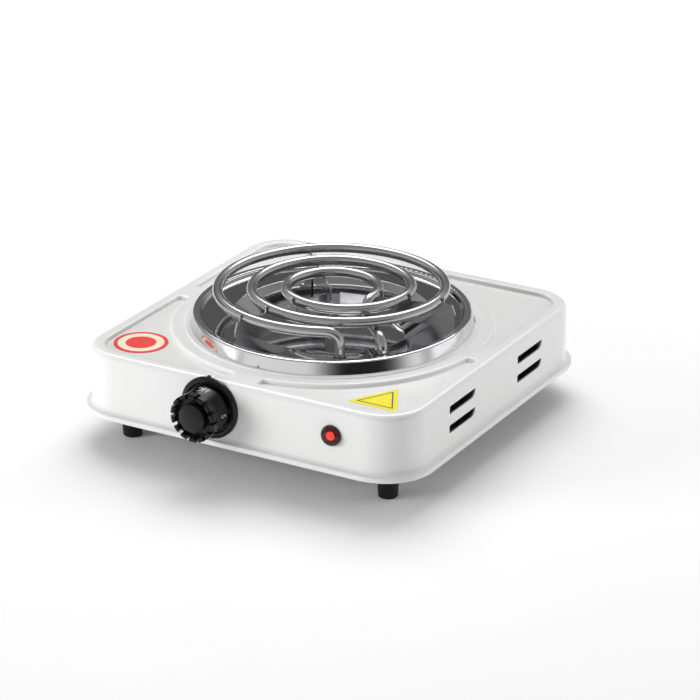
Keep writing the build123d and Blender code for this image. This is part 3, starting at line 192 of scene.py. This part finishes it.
# the lens is a smoked translucent red; the neon's glow shows through it
lens = MATERIALS["lamp_amber"].shader
lens.inputs["Transmission Weight"].default_value = 0.9
lens.inputs["IOR"].default_value = 1.46
for slot in ("dial_black", "cap_black", "foot_black", "label_red", "label_yellow"):
    MATERIALS[slot].shader.inputs["Specular IOR Level"].default_value = 0.3
glass = MATERIALS["bulb_glass"].shader
glass.inputs["Transmission Weight"].default_value = 0.9
glow = MATERIALS["lamp_glow"].shader
glow.inputs["Emission Color"].default_value = (1.0, 0.10, 0.07, 1.0)
glow.inputs["Emission Strength"].default_value = 3.5


def print_rings(n, middle, rings):
    """Concentric printed rings round middle: rings holds (outer radius, colour), innermost first."""
    offset = n.new("ShaderNodeVectorMath", operation="SUBTRACT")
    n.link(n.coords, offset.inputs[0])
    offset.inputs[1].default_value = middle
    flat = n.new("ShaderNodeVectorMath", operation="MULTIPLY")
    n.link(offset.outputs["Vector"], flat.inputs[0])
    flat.inputs[1].default_value = (1.0, 1.0, 0.0)
    length = n.new("ShaderNodeVectorMath", operation="LENGTH")
    n.link(flat.outputs["Vector"], length.inputs[0])
    worn = n.noise(900.0, 3.0)
    colour = rings[-1][1]
    for radius, inner in reversed(rings[:-1]):
        inside = n.spread(length.outputs["Value"], 1.0, 0.0, radius - 0.00012, radius + 0.00012)
        colour = n.mix(inside, colour, inner)
    faded = n.mix(n.spread(worn, 0.0, 0.05), colour, (0.6, 0.4, 0.35))
    n.link(faded, n.shader.inputs["Base Color"])


label_low, label_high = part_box("round_label")
RED = (0.78, 0.025, 0.015)
CREAM = (0.84, 0.76, 0.58)
LABEL_RINGS = [(0.0093, RED), (0.0140, CREAM), (0.0164, RED)]
print_rings(MATERIALS["label_red"], (label_low + label_high) / 2, LABEL_RINGS)

slot_of = {row["node"]: row["material_slot"] for row in frame["record"]["subparts"]}
for name, node in nodes.items():
    node.data.materials.clear()
    node.data.materials.append(MATERIALS[slot_of[name]].material)


# ---------------------------------------------------------------- marks and lamp, added to the CAD nodes
def piece(name, points, faces, body, material, smooth=False):
    mesh = bpy.data.meshes.new(name)
    mesh.from_pydata([tuple(point) for point in points], [], faces)
    mesh.update()
    for polygon in mesh.polygons:
        polygon.use_smooth = smooth
    mesh.materials.append(MATERIALS[material].material)
    obj = bpy.data.objects.new(name, mesh)
    bpy.context.scene.collection.objects.link(obj)
    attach(obj, body)
    return obj


def letters(text, size, thickness):
    """The mesh of a word: its points, centred on the word, and its faces."""
    curve = bpy.data.curves.new("word", "FONT")
    curve.body = text
    curve.size = size
    curve.align_x = "CENTER"
    curve.extrude = thickness / 2
    holder = bpy.data.objects.new("word", curve)
    bpy.context.scene.collection.objects.link(holder)
    bpy.context.view_layer.update()
    mesh = holder.to_mesh()
    points = [vertex.co.copy() for vertex in mesh.vertices]
    faces = [tuple(polygon.vertices) for polygon in mesh.polygons]
    holder.to_mesh_clear()
    bpy.data.objects.remove(holder)
    bpy.data.curves.remove(curve)
    return points, faces


# marks printed on the conical skirt of the dial, read from the front with their tops to the wall
cap_low, cap_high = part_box("knob_cap")
dial_x = (cap_low.x + cap_high.x) / 2
dial_z = (cap_low.z + cap_high.z) / 2
skirt_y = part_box("knob")[1].y          # back edge of the skirt
SKIRT_FRONT = (0.0119, 0.0092)         # radius, and distance in front of the back edge
SKIRT_BACK = (0.0141, 0.0009)
slant = math.dist(SKIRT_FRONT, SKIRT_BACK)
along = ((SKIRT_BACK[0] - SKIRT_FRONT[0]) / slant, (SKIRT_BACK[1] - SKIRT_FRONT[1]) / slant)
across = (-along[1], along[0])


def on_skirt(point, start, angle):
    """A point of flat lettering, wrapped round the skirt: y runs up the cone, x runs clockwise."""
    radius = SKIRT_FRONT[0] + along[0] * (start + point.y) + across[0] * point.z
    depth = SKIRT_FRONT[1] + along[1] * (start + point.y) + across[1] * point.z
    turn = math.radians(angle) - point.x / radius
    return (dial_x + radius * math.cos(turn), skirt_y - depth, dial_z + radius * math.sin(turn))


MARKS = {"OFF": 92.0, "1": 142.0, "2": 196.0, "3": 250.0, "4": 304.0, "5": 358.0}
MARK_SIZE = 0.0052
MARK_T = 0.00006
MARK_START = 0.0045                    # from the front edge of the skirt
for word, angle in MARKS.items():
    points, faces = letters(word, MARK_SIZE, MARK_T)
    wrapped = [on_skirt(point, MARK_START, angle) for point in points]
    piece("mark_" + word, wrapped, faces, "dial", "mark_white")

# printed line on the triangular sticker
tri_low, tri_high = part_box("triangle_label")
TIP_X = 0.0170                         # far corner, to the right of the left one
LINE_OUTER = 0.74                      # edges of the line, as shares of the sticker
LINE_INNER = 0.66
LINE_T = 0.00005
tri_corners = [
    Vector((tri_low.x, tri_low.y)),
    Vector((tri_high.x, tri_low.y)),
    Vector((tri_low.x + TIP_X, tri_high.y)),
]
tri_middle = sum(tri_corners, Vector((0, 0))) / 3
rows = []
for share, lift in ((LINE_OUTER, 0.0), (LINE_OUTER, LINE_T), (LINE_INNER, LINE_T), (LINE_INNER, 0.0)):
    spread = [tri_middle + (corner - tri_middle) * share for corner in tri_corners]
    rows.append([(corner.x, corner.y, tri_high.z + lift) for corner in spread])
points = [point for row in rows for point in row]
faces = []
for row in range(4):
    for column in range(3):
        ahead = (column + 1) % 3
        below = (row + 1) % 4
        faces.append((row * 3 + column, row * 3 + ahead, below * 3 + ahead, below * 3 + column))
piece("triangle_line", points, faces, "housing", "mark_dark")


TURN_STEPS = 48


def turned_piece(name, profile, x, y, z, body, material):
    """A piece turned on an axis along y: profile holds (radius, distance in front of y)."""
    points = []
    for radius, depth in profile:
        for step in range(TURN_STEPS):
            turn = 2 * math.pi * step / TURN_STEPS
            points.append((x + radius * math.cos(turn), y - depth, z + radius * math.sin(turn)))
    faces = []
    for row in range(len(profile)):
        here = row * TURN_STEPS
        below = (row + 1) % len(profile) * TURN_STEPS
        for step in range(TURN_STEPS):
            ahead = (step + 1) % TURN_STEPS
            faces.append((here + step, here + ahead, below + ahead, below + step))
    return piece(name, points, faces, body, material, smooth=True)


# inside of the lamp: a dark cup round the glowing end of the neon; its near-black colour is painted
# shade, standing in for the shadow inside the lamp
lens_low, lens_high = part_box("lamp_lens")
lens_x = (lens_low.x + lens_high.x) / 2
lens_z = (lens_low.z + lens_high.z) / 2
wall_y = lens_high.y
SHADE_CUP = [
    (0.0021, 0.0004),
    (0.0060, 0.0004),
    (0.0061, 0.0012),
    (0.0059, 0.0013),
    (0.0056, 0.0006),
    (0.0021, 0.0006),
]
GLOW_END = [
    (0.0001, 0.0004),
    (0.0019, 0.0004),
    (0.0020, 0.0008),
    (0.0016, 0.0012),
    (0.0008, 0.0014),
    (0.0001, 0.0015),
]
turned_piece("lamp_shade_cup", SHADE_CUP, lens_x, wall_y, lens_z, "housing", "lamp_painted_shade")
turned_piece("lamp_glow", GLOW_END, lens_x, wall_y, lens_z, "housing", "lamp_glow")

# ---------------------------------------------------------------- stage
bolt_low, bolt_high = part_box("support_bolt")
burner = (bolt_low + bolt_high) / 2

floor_mesh = bpy.data.meshes.new("floor")
REACH = 6.0
floor_corners = [(-REACH, -REACH, 0), (REACH, -REACH, 0), (REACH, REACH, 0), (-REACH, REACH, 0)]
floor_mesh.from_pydata(floor_corners, [], [(0, 1, 2, 3)])
floor = bpy.data.objects.new("floor", floor_mesh)
bpy.context.scene.collection.objects.link(floor)
floor_finish = finish_of("pale_floor", (0.92, 0.92, 0.92), (0.915, 0.915, 0.915), rough=(0.5, 0.6),
                         patch=2.0, grain=300.0)
floor_mesh.materials.append(floor_finish.material)


def area(name, at, towards, size_x, size_y, watts):
    """A soft white light, turned towards a point."""
    data = bpy.data.lights.new(name, "AREA")
    data.shape = "RECTANGLE"
    data.size, data.size_y = size_x, size_y
    data.energy = watts
    lamp = bpy.data.objects.new(name, data)
    lamp.location = at
    lamp.rotation_euler = (Vector(towards) - Vector(at)).to_track_quat("-Z", "Y").to_euler()
    bpy.context.scene.collection.objects.link(lamp)
    return lamp


centre = (burner.x, burner.y, 0.05)
area("top_softbox", (-0.35, 0.75, 1.30), centre, 1.4, 1.1, 18)
area("front_softbox", (-1.25, -1.35, 0.50), centre, 0.9, 0.7, 22).visible_glossy = False
area("right_softbox", (1.35, 1.05, 0.55), centre, 0.8, 0.8, 8).visible_glossy = False

world = bpy.data.worlds.new("studio")
world.use_nodes = True
sky = world.node_tree


def sky_node(kind, **settings):
    node = sky.nodes.new(kind)
    for key, value in settings.items():
        setattr(node, key, value)
    return node


def sky_rise(source, low, high):
    """0 where source is at low, 1 where it is at high, and smooth between."""
    node = sky_node("ShaderNodeMapRange", interpolation_type="SMOOTHSTEP")
    node.inputs["From Min"].default_value = low
    node.inputs["From Max"].default_value = high
    sky.links.new(source, node.inputs["Value"])
    return node.outputs["Result"]


def sky_mix(factor, base, tone):
    """base, turned into a plain grey where factor is 1."""
    node = sky_node("ShaderNodeMix", data_type="RGBA")
    sky.links.new(factor, node.inputs[0])
    sky.links.new(base, node.inputs[6])
    node.inputs[7].default_value = (tone, tone, tone, 1)
    return node.outputs[2]


direction = sky_node("ShaderNodeTexCoord").outputs["Generated"]
split = sky_node("ShaderNodeSeparateXYZ")
sky.links.new(direction, split.inputs[0])
height_ramp = sky_node("ShaderNodeValToRGB")
sky.links.new(split.outputs["Z"], height_ramp.inputs["Fac"])
stops = height_ramp.color_ramp.elements
SKY_LOW = 0.90                         # grey at the horizon, part way up, and overhead
SKY_MIDDLE = 0.55
SKY_HIGH = 0.34
stops[0].color = (SKY_LOW, SKY_LOW, SKY_LOW, 1)
stops[-1].color = (SKY_HIGH, SKY_HIGH, SKY_HIGH, 1)
stops.new(0.30).color = (SKY_MIDDLE, SKY_MIDDLE, SKY_MIDDLE, 1)
stops.new(0.90).color = (SKY_HIGH, SKY_HIGH, SKY_HIGH, 1)
shade = height_ramp.outputs["Color"]

# dark flags that stand round the table, for the polished metal to reflect
# (azimuth of the middle, half width, both in degrees; height as a direction's z; grey)
FLAGS = (
    (-36.0, 46.0, 0.50, 0.015),
    (160.0, 34.0, 0.30, 0.015),
    (118.0, 50.0, 0.75, 0.13),
)
SOLID_WIDTH = 0.25                     # share of the half width that is fully dark
SOLID_HEIGHT = 0.6                     # share of the height that is fully dark
for azimuth, half_width, height, tone in FLAGS:
    turn = math.radians(azimuth)
    toward = sky_node("ShaderNodeVectorMath", operation="DOT_PRODUCT")
    sky.links.new(direction, toward.inputs[0])
    toward.inputs[1].default_value = (math.cos(turn), math.sin(turn), 0)
    edge = math.cos(math.radians(half_width))
    solid_edge = math.cos(math.radians(half_width * SOLID_WIDTH))
    flag = sky_node("ShaderNodeMath", operation="MULTIPLY")
    sky.links.new(sky_rise(toward.outputs["Value"], edge, solid_edge), flag.inputs[0])
    sky.links.new(sky_rise(split.outputs["Z"], height, height * SOLID_HEIGHT), flag.inputs[1])
    shade = sky_mix(flag.outputs["Value"], shade, tone)

# the flags show in the metal only: what is seen past the floor is plain
BACKDROP = 0.86
background = sky.nodes["Background"]
seen = sky_node("ShaderNodeLightPath").outputs["Is Camera Ray"]
sky.links.new(sky_mix(seen, shade, BACKDROP), background.inputs["Color"])
background.inputs["Strength"].default_value = 1.0
bpy.context.scene.world = world

# ---------------------------------------------------------------- camera
AZIMUTH = math.radians(29.83)
ELEVATION = math.radians(22.52)
DISTANCE = 1.9866
LENS = 167.5                           # focal length and sensor, in millimetres
SENSOR = 36.0
AIM_Z = 0.02925                        # height of the point aimed at, on the burner axis
RIGHT = 0.01064                        # how far the camera stands aside from that aim
UP = 0.01127
back = Vector((
    math.sin(AZIMUTH) * math.cos(ELEVATION),
    -math.cos(AZIMUTH) * math.cos(ELEVATION),
    math.sin(ELEVATION),
))
right = Vector((math.cos(AZIMUTH), math.sin(AZIMUTH), 0))
up = back.cross(right)
camera_data = bpy.data.cameras.new("camera")
camera_data.lens = LENS
camera_data.sensor_width = SENSOR
camera = bpy.data.objects.new("camera", camera_data)
rotation = Matrix((right, up, back)).transposed().to_4x4()
aim = Vector((burner.x, burner.y, AIM_Z))
place = aim + back * DISTANCE + right * RIGHT + up * UP
camera.matrix_world = Matrix.Translation(place) @ rotation
bpy.context.scene.collection.objects.link(camera)
bpy.context.scene.camera = camera
bpy.context.scene.view_settings.view_transform = "Standard"
